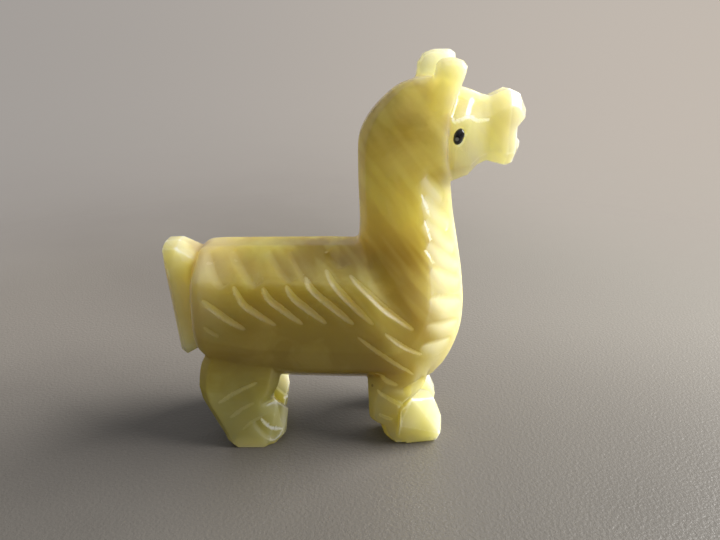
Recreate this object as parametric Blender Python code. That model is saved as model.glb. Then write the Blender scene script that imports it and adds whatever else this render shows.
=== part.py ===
# Small carved stone llama: one polished stone figure with two black beads let in as eyes.
# The head looks along +X, the tail hangs at -X, and the four soles stand on z = 0.
# The stone was sawn to a slab, ground to flat facets, and its wool cut with the edge of a wheel.
import math

import bmesh
import bpy
from mathutils import Matrix, Vector
from mathutils.bvhtree import BVHTree

MM = 0.001

# Overall sizes of the slab, in millimetres
BACK_Z = 37.8
BELLY_Z = 11.2
CHEST_X = 23.1
NAPE_X = 3.8
RUMP_X = -25.7

# Cross sections, back to belly: fraction of the way down, then half width
BODY_SECTION = ((0.0, 2.9), (0.13, 8.3), (0.20, 9.8), (0.33, 10.6), (0.48, 11.0), (0.64, 10.9),
                (0.78, 10.0), (0.87, 7.9), (1.0, 2.6))
NECK_SECTION = ((0.0, 1.9), (0.08, 4.4), (0.17, 6.3), (0.30, 7.3), (0.46, 7.7), (0.64, 7.7),
                (0.76, 6.0), (0.88, 4.1), (1.0, 2.2))
CAP_SECTION = ((0.0, 1.8), (0.08, 3.7), (0.18, 5.2), (0.34, 6.3), (0.52, 6.8), (0.72, 6.9),
               (0.88, 6.8), (0.97, 6.6), (1.0, 6.1))
SPLINE_STEPS = 3

# Tail, hanging as a slab behind the rump
TAIL_REAR_X = -31.9
TAIL_TOP_Z = 38.2
TAIL_HALF = 4.0

# Legs
SLOT_HALF = 2.2
HIND_LEG_OUT = 10.1
FORE_LEG_OUT = 9.2
LEG_CHAMFER = 1.7
FAR_HIND_SHIFT = -0.8

# Head
CHEEK_HALF = 5.6
MUZZLE_X = 31.9
LIP_LEAN = 0.08
EYE_X = 20.2
EYE_Z = 57.0
EYE_WIDE = 1.7
EYE_TALL = 2.4
EYE_DEEP = 1.8
EYE_GAP = 0.3

# Wool cuts made by a wheel with a V edge
WHEEL_SIDES = 56
WHEEL_V_DEPTH = 2.0
SIDE_CUT_DEPTH = 0.6
PASS_OVERLAP = 0.3
SIDE_CUT_PITCH = 4.45
CHEST_CUT_PITCH = 4.2
CHEST_CUTS = 7

STONE_COLOUR = (0.50, 0.44, 0.13, 1.0)
BEAD_COLOUR = (0.01, 0.01, 0.012, 1.0)

for old in list(bpy.data.objects):
    bpy.data.objects.remove(old, do_unlink=True)

scene = bpy.context.scene
figure = bpy.data.collections.new("inca_llama_figure")
blanks = bpy.data.collections.new("blanks")
wheels = bpy.data.collections.new("wheels")
for group in (figure, blanks, wheels):
    scene.collection.children.link(group)


def make_material(name, colour, roughness):
    material = bpy.data.materials.new(name)
    material.use_nodes = True
    shader = material.node_tree.nodes["Principled BSDF"]
    shader.inputs["Base Color"].default_value = colour
    shader.inputs["Roughness"].default_value = roughness
    shader.inputs["Metallic"].default_value = 0.0
    return material


def make_object(name, bm, group, material=None):
    """Turn a bmesh in millimetres into an object in metres."""
    bmesh.ops.scale(bm, vec=(MM, MM, MM), verts=bm.verts)
    bmesh.ops.recalc_face_normals(bm, faces=bm.faces)
    mesh = bpy.data.meshes.new(name)
    bm.to_mesh(mesh)
    bm.free()
    thing = bpy.data.objects.new(name, mesh)
    group.objects.link(thing)
    if material:
        mesh.materials.append(material)
    if group is not figure:
        thing.hide_render = True
        thing.display_type = "WIRE"
    return thing


def loft(rings):
    """Skin a row of rings that have the same number of points, and close both ends."""
    bm = bmesh.new()
    rows = [[bm.verts.new(point) for point in ring] for ring in rings]
    for row, following in zip(rows, rows[1:]):
        for i in range(len(row)):
            j = (i + 1) % len(row)
            bm.faces.new((row[i], row[j], following[j], following[i]))
    bm.faces.new(rows[0])
    bm.faces.new(rows[-1])
    return bm


def hull(points):
    """Wrap the corner points of a faceted block."""
    bm = bmesh.new()
    for point in points:
        bm.verts.new(point)
    result = bmesh.ops.convex_hull(bm, input=bm.verts)
    bmesh.ops.delete(bm, geom=result["geom_interior"], context="VERTS")
    return bm


def mix(first, second, amount):
    """Blend two cross sections."""
    return [(a[0] + (b[0] - a[0]) * amount, a[1] + (b[1] - a[1]) * amount)
            for a, b in zip(first, second)]


def spline(rows, steps):
    """Add points between rows of numbers along a Catmull-Rom curve through them."""
    smooth = []
    for i in range(len(rows) - 1):
        a = rows[max(i - 1, 0)]
        b = rows[i]
        c = rows[i + 1]
        d = rows[min(i + 2, len(rows) - 1)]
        for step in range(steps):
            t = step / steps
            smooth.append([0.5 * (2 * q + (r - p) * t + (2 * p - 5 * q + 4 * r - s) * t * t
                                  + (3 * q - p - 3 * r + s) * t * t * t)
                           for p, q, r, s in zip(a, b, c, d)])
    smooth.append(list(rows[-1]))
    return smooth


def section_ring(back, front, section, width):
    """Stand a cross section on the line from the back or nape to the belly or chest."""
    near = []
    far = []
    for down, half in section:
        x = back[0] + (front[0] - back[0]) * down
        z = back[1] + (front[1] - back[1]) * down
        near.append((x, -half * width, z))
        far.append((x, half * width, z))
    return near + far[::-1]


def box_ring(z, x0, x1, y0, y1, chamfer):
    """Make a level rectangle with its four corners cut off."""
    c = min(chamfer, 0.45 * (x1 - x0), 0.45 * (y1 - y0))
    return [(x0 + c, y0, z), (x1 - c, y0, z), (x1, y0 + c, z), (x1, y1 - c, z),
            (x1 - c, y1, z), (x0 + c, y1, z), (x0, y1 - c, z), (x0, y0 + c, z)]


def mirror_points(points, shift=0.0):
    """Take points over to the far side of the slab."""
    return [(x + shift, -y, z) for x, y, z in points]


# Trunk: the sections run along the back, fan round the corner at the neck, and climb to the wool cap.
# Each station has its back point, its belly or chest point, the section (0 body, 1 neck, 2 cap) and a width.
STATIONS = (
    ((RUMP_X, 34.4), (RUMP_X, 19.0), 0.0, 0.50),
    ((-24.3, 36.7), (-24.5, 16.8), 0.0, 0.80),
    ((-22.2, BACK_Z - 0.2), (-22.0, 14.6), 0.0, 0.97),
    ((-14.0, BACK_Z - 0.1), (-13.0, BELLY_Z + 0.6), 0.0, 1.0),
    ((-4.0, BACK_Z), (-3.0, BELLY_Z), 0.0, 1.0),
    ((NAPE_X - 0.4, BACK_Z), (6.0, BELLY_Z - 0.2), 0.0, 1.0),
    ((NAPE_X - 0.2, BACK_Z + 0.1), (13.0, BELLY_Z - 0.8), 0.0, 1.0),
    ((NAPE_X, BACK_Z + 0.3), (18.0, BELLY_Z - 0.4), 0.15, 0.99),
    ((NAPE_X + 0.1, BACK_Z + 0.6), (20.7, 14.8), 0.35, 0.98),
    ((NAPE_X + 0.1, BACK_Z + 1.0), (22.6, 20.6), 0.6, 0.98),
    ((NAPE_X + 0.1, BACK_Z + 1.8), (CHEST_X, 26.2), 0.8, 0.99),
    ((NAPE_X + 0.2, BACK_Z + 3.2), (22.5, 32.4), 0.92, 1.0),
    ((NAPE_X + 0.2, 43.6), (21.4, 38.4), 1.0, 1.0),
    ((NAPE_X, 48.0), (20.3, 44.0), 1.0, 0.98),
    ((NAPE_X - 0.1, 52.2), (19.7, 48.0), 1.15, 0.98),
    ((NAPE_X, 56.2), (19.1, 50.6), 1.7, 1.0),
    ((4.8, 59.0), (18.4, 53.6), 2.0, 1.0),
    ((6.8, 61.8), (18.3, 57.2), 2.0, 0.98),
    ((10.1, 64.7), (18.6, 60.6), 2.0, 0.86),
    ((13.1, 66.0), (18.9, 63.6), 2.0, 0.66),
    ((15.6, 66.3), (19.0, 65.2), 2.0, 0.45),
)
rings = []
rows = [back + front + (kind, width) for back, front, kind, width in STATIONS]
for back_x, back_z, front_x, front_z, kind, width in spline(rows, SPLINE_STEPS):
    if kind <= 1.0:
        section = mix(BODY_SECTION, NECK_SECTION, kind)
    else:
        section = mix(NECK_SECTION, CAP_SECTION, kind - 1.0)
    rings.append(section_ring((back_x, back_z), (front_x, front_z), section, width))
stone = make_material("honey_green_stone", STONE_COLOUR, 0.18)
llama = make_object("llama", loft(rings), figure, stone)

# Tail: level rings from its blunt tip up to a faceted knob that stands clear of the back
TAIL_RINGS = (
    (14.4, TAIL_REAR_X + 1.5, -28.0, 0.42),
    (17.2, TAIL_REAR_X + 0.5, -25.8, 0.72),
    (26.0, TAIL_REAR_X + 0.1, -24.8, 0.84),
    (32.6, TAIL_REAR_X, -25.2, 0.97),
    (35.8, TAIL_REAR_X, -26.0, 1.0),
    (37.4, TAIL_REAR_X + 0.5, -26.7, 0.74),
    (TAIL_TOP_Z, TAIL_REAR_X + 1.7, -28.0, 0.42),
)
rings = [box_ring(z, x0, x1, -TAIL_HALF * w, TAIL_HALF * w, 1.3) for z, x0, x1, w in TAIL_RINGS]
make_object("tail_blank", loft(rings), blanks)

# Legs: height, rear edge, front edge, outer face
HIND_RINGS = (
    (20.0, -22.6, -11.5, 9.3),
    (17.3, -24.6, -10.9, HIND_LEG_OUT - 0.2),
    (13.0, -25.6, -10.9, HIND_LEG_OUT),
    (9.6, -24.9, -9.9, HIND_LEG_OUT),
    (5.2, -22.9, -8.9, HIND_LEG_OUT + 0.1),
    (2.2, -21.6, -9.4, HIND_LEG_OUT),
    (0.0, -20.6, -11.6, HIND_LEG_OUT - 0.2),
)
FORE_RINGS = (
    (19.0, 6.4, 17.0, 9.4),
    (14.6, 5.5, 17.6, FORE_LEG_OUT + 0.3),
    (10.8, 5.6, 16.6, FORE_LEG_OUT),
    (7.8, 5.8, 16.4, FORE_LEG_OUT - 0.2),
    (5.4, 6.3, 16.8, FORE_LEG_OUT - 0.3),
    (3.5, 7.5, 17.4, FORE_LEG_OUT - 0.4),
    (1.3, 8.7, 18.0, FORE_LEG_OUT - 0.6),
    (0.0, 9.6, 18.0, FORE_LEG_OUT - 1.1),
)
for name, levels, chamfer, far_shift in (("hind", HIND_RINGS, LEG_CHAMFER, FAR_HIND_SHIFT),
                                         ("fore", FORE_RINGS, 0.6 * LEG_CHAMFER, 0.0)):
    near = [box_ring(z, x0, x1, -out, -SLOT_HALF, chamfer) for z, x0, x1, out in spline(levels, 2)]
    far = [mirror_points(ring, far_shift) for ring in near]
    make_object(name + "_leg_near", loft(near), blanks)
    make_object(name + "_leg_far", loft(far), blanks)

# Fore hooves: a block with one large facet that slopes from the shin to the outer rim
HOOF_CORNERS = (
    (13.0, -8.6, 9.6), (15.3, -8.5, 8.8), (16.6, -7.6, 9.0), (18.6, -6.4, 7.8),
    (11.7, -10.0, 5.4), (19.5, -7.8, 4.4), (19.6, -8.3, 1.7), (11.4, -9.7, 4.3),
    (19.4, -SLOT_HALF, 4.6), (19.3, -SLOT_HALF, 1.4), (13.0, -SLOT_HALF, 9.0), (17.6, -SLOT_HALF, 8.0),
    (12.6, -8.4, 0.0), (18.7, -8.0, 0.0), (18.7, -SLOT_HALF - 0.3, 0.0), (12.6, -SLOT_HALF - 0.3, 0.0),
)
make_object("fore_hoof_near", hull(HOOF_CORNERS), blanks)
make_object("fore_hoof_far", hull(mirror_points(HOOF_CORNERS)), blanks)

# Face: upright rings from inside the wool cap out to the blunt muzzle
# Each has its place along X, top, brow edge, chin, half width of the bridge, and half width of the cheek.
FACE_RINGS = (
    (15.0, 64.6, 60.2, 49.8, 1.8, CHEEK_HALF - 0.3),
    (19.6, 65.0, 60.2, 49.3, 1.8, CHEEK_HALF),
    (23.2, 64.0, 59.8, 50.5, 1.7, CHEEK_HALF - 0.7),
    (25.2, 63.2, 60.3, 52.2, 1.8, CHEEK_HALF - 1.5),
    (28.4, 64.4, 61.9, 51.7, 2.6, CHEEK_HALF - 0.9),
    (30.4, 63.8, 61.6, 51.9, 2.4, CHEEK_HALF - 1.5),
    (MUZZLE_X, 61.9, 60.2, 53.2, 1.8, CHEEK_HALF - 2.7),
)
rings = []
for x, top, brow, chin, bridge, cheek in FACE_RINGS:
    jaw = chin + 0.22 * (brow - chin)
    near = [(x, -bridge, top), (x, -cheek, brow), (x, -cheek, jaw), (x, -0.55 * cheek, chin)]
    if x == MUZZLE_X:
        near = [(x - LIP_LEAN * (top - z), y, z) for x, y, z in near]
    rings.append(near + mirror_points(near[::-1]))
make_object("face_blank", loft(rings), blanks)

# Ears: flat leaves, the near one lower and set further forward than the far one
EAR_THICK = 2.7
NEAR_EAR = ((16.4, 68.3), (17.0, 69.0), (18.8, 69.1), (20.6, 68.7), (21.2, 68.0), (21.0, 66.6),
            (20.3, 64.6), (18.8, 60.6), (16.0, 59.2), (14.6, 62.0), (15.9, 65.6))
FAR_EAR = ((13.6, 66.2), (13.8, 68.4), (14.8, 69.9), (16.5, 70.5), (19.1, 70.5), (20.0, 69.9),
           (20.2, 68.4), (20.0, 65.0), (18.6, 61.0), (14.6, 60.0), (13.2, 63.4))
for name, outline, side in (("ear_near", NEAR_EAR, -1.0), ("ear_far", FAR_EAR, 1.0)):
    middle = (sum(p[0] for p in outline) / len(outline), sum(p[1] for p in outline) / len(outline))
    rings = []
    for y, grow in ((2.3, 0.86), (3.2, 1.0), (4.4, 1.0), (2.3 + EAR_THICK + 0.5, 0.72)):
        ring = [(middle[0] + (x - middle[0]) * grow, side * y, middle[1] + (z - middle[1]) * grow)
                for x, z in outline]
        rings.append(ring)
    make_object(name, loft(rings), blanks)

join = llama.modifiers.new("join_blanks", "BOOLEAN")
join.operation = "UNION"
join.operand_type = "COLLECTION"
join.collection = blanks
join.solver = "EXACT"

# The surface of the joined blank is read once, so that each wheel cut starts and ends on the stone.
bpy.context.view_layer.update()
graph = bpy.context.evaluated_depsgraph_get()
surface = BVHTree.FromObject(llama, graph)


def on_stone(x, z, side):
    """Find the point of the stone's side, and the way it faces, at a place seen from the side."""
    origin = Vector((x, side * 40.0, z)) * MM
    point, normal, index, distance = surface.ray_cast(origin, Vector((0.0, -side, 0.0)))
    return point / MM, normal


def wheel(name, start, end, outward, depth):
    """Set a V-edged wheel so that it cuts from start to end and is deepest in the middle."""
    chord = end - start
    along = chord.normalized()
    normal = (outward - along * outward.dot(along)).normalized()
    radius = chord.length ** 2 / (8.0 * depth) + depth / 2.0
    rim = min(WHEEL_V_DEPTH, 0.6 * radius)
    bm = bmesh.new()
    profile = [(0.0, -rim), (radius - rim, -rim), (radius, 0.0), (radius - rim, rim), (0.0, rim)]
    verts = [bm.verts.new((r, 0.0, h)) for r, h in profile]
    edges = [bm.edges.new(pair) for pair in zip(verts, verts[1:])]
    bmesh.ops.spin(bm, geom=verts + edges, cent=(0.0, 0.0, 0.0), axis=(0.0, 0.0, 1.0),
                   angle=2.0 * math.pi, steps=WHEEL_SIDES, use_merge=True)
    bmesh.ops.remove_doubles(bm, verts=bm.verts, dist=0.0001)
    centre = (start + end) / 2.0 + normal * (radius - depth)
    turn = Matrix((along, normal, along.cross(normal))).transposed().to_4x4()
    bmesh.ops.transform(bm, matrix=Matrix.Translation(centre) @ turn, verts=bm.verts)
    return make_object(name, bm, wheels)


def side_cut(name, x0, z0, x1, z1, depth, passes=1):
    """Cut the same stroke on the near and the far side, a long one in passes that overlap."""
    for label, side in (("near", -1.0), ("far", 1.0)):
        for i in range(passes):
            t0 = max(0.0, (i - PASS_OVERLAP) / passes)
            t1 = min(1.0, (i + 1 + PASS_OVERLAP) / passes)
            start, first_normal = on_stone(x0 + (x1 - x0) * t0, z0 + (z1 - z0) * t0, side)
            end, last_normal = on_stone(x0 + (x1 - x0) * t1, z0 + (z1 - z0) * t1, side)
            t = (t0 + t1) / 2.0
            middle, normal = on_stone(x0 + (x1 - x0) * t, z0 + (z1 - z0) * t, side)
            facing = (first_normal + normal + last_normal).normalized()
            bulge = (middle - (start + end) / 2.0).dot(facing)
            wheel("%s_%s_%d" % (name, label, i), start, end, facing, max(depth - bulge, 0.45 * depth))


# Long strokes down the flank, in one slanting row from the rump to the shoulder
for i in range(6):
    across = -14.1 + SIDE_CUT_PITCH * i
    top = 33.2 + 0.35 * i
    bottom = 25.8
    side_cut("flank_cut_%d" % i, across - 0.9 * (top - 30.0), top, across + 0.9 * (30.0 - bottom), bottom,
             SIDE_CUT_DEPTH, passes=2)
side_cut("rump_cut", -22.2, 31.3, -15.6, 25.0, SIDE_CUT_DEPTH, passes=2)

# Short strokes on the bevel above the flank
for i in range(4):
    start_x = -20.6 + 5.1 * i
    side_cut("saddle_cut_%d" % i, start_x, 36.8, start_x + 3.1, 34.2, 0.45)

# Strokes on the shoulder and down the fore leg
for i, (x0, z0, run) in enumerate(((8.0, 24.4, 6.6), (3.4, 23.7, 9.8), (6.8, 16.4, 3.6), (7.0, 12.9, 4.8))):
    side_cut("shoulder_cut_%d" % i, x0, z0, x0 + run, z0 - 0.74 * run, 0.12 + 0.05 * run)

side_cut("hoof_notch", 12.1, 10.4, 16.2, 11.3, 0.8)

# Strokes on the thigh, which rise towards the belly
for i in range(3):
    x0 = -21.2 + 1.9 * i
    z0 = 9.8 - 2.5 * i
    run = 7.0 - 2.2 * i
    side_cut("thigh_cut_%d" % i, x0, z0, x0 + run, z0 + 0.72 * run, 0.5 - 0.08 * i)

# Herringbone down the chest: each stroke slants from the neck's side to the middle of the front
for i in range(CHEST_CUTS):
    z0 = 47.2 - CHEST_CUT_PITCH * i
    lean = 0.95 - 0.07 * i
    side_cut("chest_cut_%d" % i, 14.7 + 0.15 * i, z0 + 0.9 * lean, 20.0 + 0.3 * i, z0 - 4.4 * lean, 0.55)

carve = llama.modifiers.new("carve_wool", "BOOLEAN")
carve.operation = "DIFFERENCE"
carve.operand_type = "COLLECTION"
carve.collection = wheels
carve.solver = "EXACT"

# Mouth: one wedge sawn across the muzzle
MOUTH = ((30.2, 57.6), (33.6, 61.6), (33.6, 54.4))
mouth = make_object("mouth_wedge", hull([(x, y, z) for x, z in MOUTH for y in (-8.0, 8.0)]), wheels)

# Eyes: a black bead in a drilled socket on each cheek
bead = make_material("black_bead", BEAD_COLOUR, 0.08)
for name, side in (("eye_right", -1.0), ("eye_left", 1.0)):
    point, normal = on_stone(EYE_X, EYE_Z, side)
    centre = point - normal * 0.25 * EYE_DEEP
    for label, group, extra, material in ((name, figure, 0.0, bead), (name + "_socket", wheels, EYE_GAP, None)):
        bm = bmesh.new()
        bmesh.ops.create_uvsphere(bm, u_segments=16, v_segments=10, radius=1.0)
        size = Vector((EYE_WIDE / 2.0 + extra, EYE_DEEP / 2.0 + extra, EYE_TALL / 2.0 + extra))
        lean = Matrix.Rotation(math.radians(12.0), 4, "Y")
        bmesh.ops.transform(bm, matrix=Matrix.Translation(centre) @ lean @ Matrix.Diagonal(size).to_4x4(),
                            verts=bm.verts)
        thing = make_object(label, bm, group, material)
        thing.data.shade_smooth()

llama.data.set_sharp_from_angle(angle=math.radians(20.0))
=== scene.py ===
# %% [markdown]
# # A small polished stone llama
#
# The real object is one piece of honey-green stone. Its real size isn't known, and 70 mm tall is a
# guess. It looks sawn to a slab, ground to flat facets, nicked with the edge of a wheel for its wool,
# and polished. Two black beads are its eyes.
# This notebook dresses the plain solids of that figure: a finer skin of stone with softened facets,
# the cuts in the wool, the eyes, and a stone material that lets light in.

# %% Load the plain solids
import math

import bmesh
import bpy
import numpy as np
from mathutils import Matrix, Vector
from mathutils.bvhtree import BVHTree


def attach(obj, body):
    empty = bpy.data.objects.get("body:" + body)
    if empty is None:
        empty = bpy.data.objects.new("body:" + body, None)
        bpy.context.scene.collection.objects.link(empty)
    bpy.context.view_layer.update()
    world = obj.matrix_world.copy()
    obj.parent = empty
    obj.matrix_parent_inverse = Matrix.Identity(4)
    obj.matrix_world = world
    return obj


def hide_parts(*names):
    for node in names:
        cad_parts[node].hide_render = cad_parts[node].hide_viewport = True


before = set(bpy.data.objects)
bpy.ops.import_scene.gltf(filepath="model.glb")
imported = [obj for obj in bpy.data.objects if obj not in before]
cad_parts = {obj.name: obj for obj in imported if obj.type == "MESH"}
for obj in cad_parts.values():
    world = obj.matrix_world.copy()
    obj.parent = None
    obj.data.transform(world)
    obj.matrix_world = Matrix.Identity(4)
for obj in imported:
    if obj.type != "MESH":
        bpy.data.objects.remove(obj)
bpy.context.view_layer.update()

MM = 0.001
print("solids:", sorted(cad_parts))

# %% [markdown]
# ## The camera first
#
# The photograph was taken from about one and a half times the figure's height away, looking down by
# 20 degrees. So close, the near feet look larger and lower than the far ones. A long lens from further
# off would be easier to aim, but it would flatten that look, so this camera stands as close.

# %% Camera
FRAME_WIDE = 720
FOCAL_PIXELS = 582.0
LOOK_DOWN = math.radians(20.0)
EYE_POINT = Vector((4.05, -101.5, 69.0)) * MM

camera_data = bpy.data.cameras.new("close_view")
camera_data.sensor_width = 36.0
camera_data.lens = FOCAL_PIXELS / FRAME_WIDE * camera_data.sensor_width
camera_data.clip_start = 0.005
camera = bpy.data.objects.new("close_view", camera_data)
camera.location = EYE_POINT
camera.rotation_euler = (math.pi / 2.0 - LOOK_DOWN, 0.0, 0.0)
bpy.context.scene.collection.objects.link(camera)
bpy.context.scene.camera = camera
print("lens: %.1f mm" % camera_data.lens)

# %% [markdown]
# ## Rings and skins
#
# Every limb of the figure is a row of cross sections. A person would draw a few of them and bridge them.
# A Catmull-Rom curve through the drawn sections gives the ones between, so the surface flows, and a
# section that is drawn twice keeps a corner.

# %% Helpers for rings
def spline(rows, steps):
    """Add rows between rows of numbers along a Catmull-Rom curve through them."""
    rows = np.asarray(rows, float)
    padded = np.vstack((rows[:1], rows, rows[-1:]))
    t = (np.arange(steps) / steps)[:, None]
    smooth = []
    for p, q, r, s in zip(padded, padded[1:], padded[2:], padded[3:]):
        smooth.append(0.5 * (2 * q + (r - p) * t + (2 * p - 5 * q + 4 * r - s) * t ** 2
                             + (3 * q - p - 3 * r + s) * t ** 3))
    smooth.append(rows[-1:])
    return np.vstack(smooth)


def skin(bm, rings):
    """Bridge a row of rings and close both ends."""
    loops = []
    for ring in rings:
        verts = [bm.verts.new(Vector(point) * MM) for point in ring]
        loops.append([bm.edges.new((verts[i - 1], verts[i])) for i in range(len(verts))])
    for first, second in zip(loops, loops[1:]):
        bmesh.ops.bridge_loops(bm, edges=first + second)
    for loop in (loops[0], loops[-1]):
        bmesh.ops.contextual_create(bm, geom=loop)


def hull(bm, points):
    """Wrap the corners of a faceted block."""
    verts = [bm.verts.new(Vector(point) * MM) for point in points]
    made = bmesh.ops.convex_hull(bm, input=verts)
    spare = {v for v in made["geom_interior"] if isinstance(v, bmesh.types.BMVert)}
    bmesh.ops.delete(bm, geom=list(spare), context="VERTS")


def mirrored(points, shift=0.0):
    """The same points on the far side of the slab."""
    return [(x + shift, -y, z) for x, y, z in points]


blank = bmesh.new()

# %% [markdown]
# ## Trunk and neck
#
# The trunk is one bent bar: along the back, round the sharp corner at the withers, up the neck and over
# the wool cap. Its sections therefore fan round that corner. Each station gives a point on the back and
# one on the belly or chest, and which of three sections stands between them.

# %% Trunk and neck
BACK_Z = 37.8
BELLY_Z = 11.2
CHEST_X = 23.1
NAPE_X = 3.8
RUMP_X = -25.7

BODY_SECTION = ((0.0, 2.9), (0.08, 6.0), (0.155, 8.9), (0.20, 9.9), (0.33, 10.6), (0.48, 10.94),
                (0.64, 10.86), (0.64, 10.86), (0.78, 10.0), (0.87, 7.9), (1.0, 2.6))
NECK_SECTION = ((0.0, 2.2), (0.03, 3.9), (0.075, 5.6), (0.075, 5.6), (0.24, 7.2), (0.44, 7.7),
                (0.64, 7.7), (0.64, 7.7), (0.76, 6.0), (0.88, 4.1), (1.0, 2.2))
CAP_SECTION = ((0.0, 2.0), (0.04, 3.4), (0.09, 4.7), (0.09, 4.7), (0.30, 6.2), (0.52, 6.8),
               (0.72, 6.9), (0.72, 6.9), (0.88, 6.8), (0.97, 6.6), (1.0, 6.1))
STATIONS = (
    (RUMP_X, 34.8, RUMP_X, 18.6, 0.0, 0.68),
    (-25.0, 36.3, -25.1, 17.2, 0.0, 0.91),
    (-23.9, 37.3, -23.9, 15.8, 0.0, 0.99),
    (-21.6, BACK_Z - 0.2, -21.6, 14.2, 0.0, 1.0),
    (-14.0, BACK_Z - 0.1, -13.0, BELLY_Z + 0.6, 0.0, 1.0),
    (-4.0, BACK_Z, -3.0, BELLY_Z, 0.0, 1.0),
    (NAPE_X - 0.4, BACK_Z, 6.0, BELLY_Z - 0.2, 0.0, 1.0),
    (NAPE_X - 0.2, BACK_Z + 0.1, 13.0, BELLY_Z - 0.8, 0.0, 1.0),
    (NAPE_X, BACK_Z + 0.3, 17.4, BELLY_Z + 0.1, 0.2, 0.96),
    (NAPE_X + 0.1, BACK_Z + 0.6, 20.5, 15.0, 0.45, 0.96),
    (NAPE_X + 0.1, BACK_Z + 1.0, 22.6, 20.6, 0.6, 0.98),
    (NAPE_X + 0.1, BACK_Z + 1.8, CHEST_X, 26.2, 0.8, 0.99),
    (NAPE_X + 0.2, BACK_Z + 3.2, 22.5, 32.4, 0.92, 1.0),
    (NAPE_X + 0.2, 43.6, 21.4, 38.4, 1.0, 1.0),
    (NAPE_X, 48.0, 20.3, 44.0, 1.0, 0.98),
    (NAPE_X - 0.1, 52.2, 19.7, 48.0, 1.15, 0.98),
    (NAPE_X, 56.2, 19.1, 50.6, 1.7, 1.0),
    (4.8, 59.0, 18.4, 53.6, 2.0, 1.0),
    (6.8, 61.8, 18.3, 57.2, 2.0, 0.98),
    (10.1, 64.7, 18.6, 60.6, 2.0, 0.86),
    (13.1, 66.0, 18.9, 63.6, 2.0, 0.66),
    (15.6, 66.3, 19.0, 65.2, 2.0, 0.45),
)

sections = [spline(section, 4) for section in (BODY_SECTION, NECK_SECTION, CAP_SECTION)]
rings = []
for back_x, back_z, front_x, front_z, kind, width in spline(STATIONS, 6):
    low = min(int(kind), 1)
    profile = sections[low] + (sections[low + 1] - sections[low]) * (kind - low)
    x = back_x + (front_x - back_x) * profile[:, 0]
    z = back_z + (front_z - back_z) * profile[:, 0]
    near = np.stack((x, -profile[:, 1] * width, z), axis=1)
    rings.append(np.vstack((near, (near * (1, -1, 1))[::-1])))
skin(blank, rings)
print("trunk rings:", len(rings))

# %% [markdown]
# ## Tail, legs and hooves
#
# The legs are plain ground blocks, so each is a row of level rectangles with cut corners. The tail, the
# hind toes and the fore hooves have flats that slope every way, and the fore hooves are the showiest:
# one large flat slopes from the shin to the outer rim. Such a block is quickest to state by its corners
# and wrap in a hull.

# %% Tail, legs and hooves
SLOT_HALF = 2.2
FAR_HIND_SHIFT = -0.8
HIND_OUT = 10.1
FORE_OUT = 9.2

TAIL_CORNERS = (
    (-31.9, -1.0, 36.5), (-31.4, -2.4, 36.9), (-30.9, -1.2, 38.2), (-28.4, -1.2, 38.3), (-28.4, -3.6, 37.3),
    (-27.3, -4.1, 35.4), (-26.0, -2.0, 36.8), (-24.2, -1.5, 36.2), (-24.2, -4.0, 34.6), (-31.7, -1.2, 33.0),
    (-31.1, -2.8, 33.0), (-30.3, -4.0, 33.2), (-30.4, -0.9, 16.4), (-30.1, -1.8, 16.6), (-29.2, -3.0, 17.4),
    (-29.2, -1.4, 15.4), (-26.9, -2.8, 17.4), (-24.2, -3.4, 19.0),
)
HIND_RINGS = (
    (20.0, -22.6, -11.5, 9.3, 1.7),
    (17.3, -24.6, -10.2, HIND_OUT - 0.2, 1.7),
    (13.0, -25.4, -10.9, HIND_OUT, 1.7),
    (11.0, -25.2, -11.9, HIND_OUT, 1.7),
    (9.6, -24.9, -12.5, HIND_OUT, 1.7),
    (5.2, -22.9, -12.3, HIND_OUT + 0.1, 1.7),
    (2.6, -21.6, -12.0, HIND_OUT, 1.5),
    (1.0, -21.0, -12.0, HIND_OUT, 1.4),
    (0.0, -20.2, -12.6, HIND_OUT - 0.3, 1.4),
)
FORE_RINGS = (
    (20.0, 6.4, 15.6, 9.2, 3.3),
    (17.0, 5.8, 17.0, 9.4, 3.3),
    (14.0, 5.5, 16.8, FORE_OUT + 0.3, 3.2),
    (12.2, 5.5, 16.2, FORE_OUT + 0.1, 2.6),
    (10.6, 5.6, 14.8, FORE_OUT, 1.6),
    (8.8, 5.7, 12.6, FORE_OUT - 0.1, 1.0),
    (6.2, 5.8, 11.9, FORE_OUT - 0.2, 1.0),
    (5.0, 6.3, 11.9, FORE_OUT - 0.3, 1.0),
    (4.1, 7.8, 12.0, FORE_OUT - 0.3, 1.0),
    (1.7, 8.8, 12.6, FORE_OUT - 0.4, 0.9),
    (0.0, 10.3, 13.2, FORE_OUT - 0.9, 0.8),
)
TOE_CORNERS = (
    (-11.3, -9.4, 10.0), (-14.0, -10.1, 9.0), (-14.6, -10.2, 3.0), (-12.6, -10.0, 1.8), (-10.4, -8.0, 1.8),
    (-9.8, -5.0, 5.4), (-10.2, -SLOT_HALF, 3.8), (-10.4, -5.0, 0.2), (-10.9, -SLOT_HALF - 0.4, 0.0),
    (-12.2, -8.6, 0.0), (-14.0, -SLOT_HALF, 7.5), (-14.5, -SLOT_HALF - 0.4, 0.0), (-14.5, -9.4, 0.0),
)
HOOF_CORNERS = (
    (16.4, -7.2, 8.2), (11.4, -10.4, 5.2), (19.2, -8.7, 2.4), (11.6, -9.3, 7.7), (13.6, -8.9, 10.0),
    (15.4, -7.8, 9.3), (18.2, -5.0, 7.8), (19.7, -5.6, 4.2), (19.6, -7.3, 2.1), (19.4, -SLOT_HALF, 4.4),
    (19.2, -SLOT_HALF, 1.4), (13.0, -SLOT_HALF, 9.0), (17.4, -SLOT_HALF, 7.8), (13.3, -8.8, 0.4),
    (18.7, -7.8, 0.3), (18.5, -7.6, 0.0), (13.0, -8.5, 0.0), (18.6, -SLOT_HALF - 0.3, 0.0),
    (12.6, -SLOT_HALF - 0.3, 0.0), (11.2, -8.9, 1.6),
)


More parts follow.
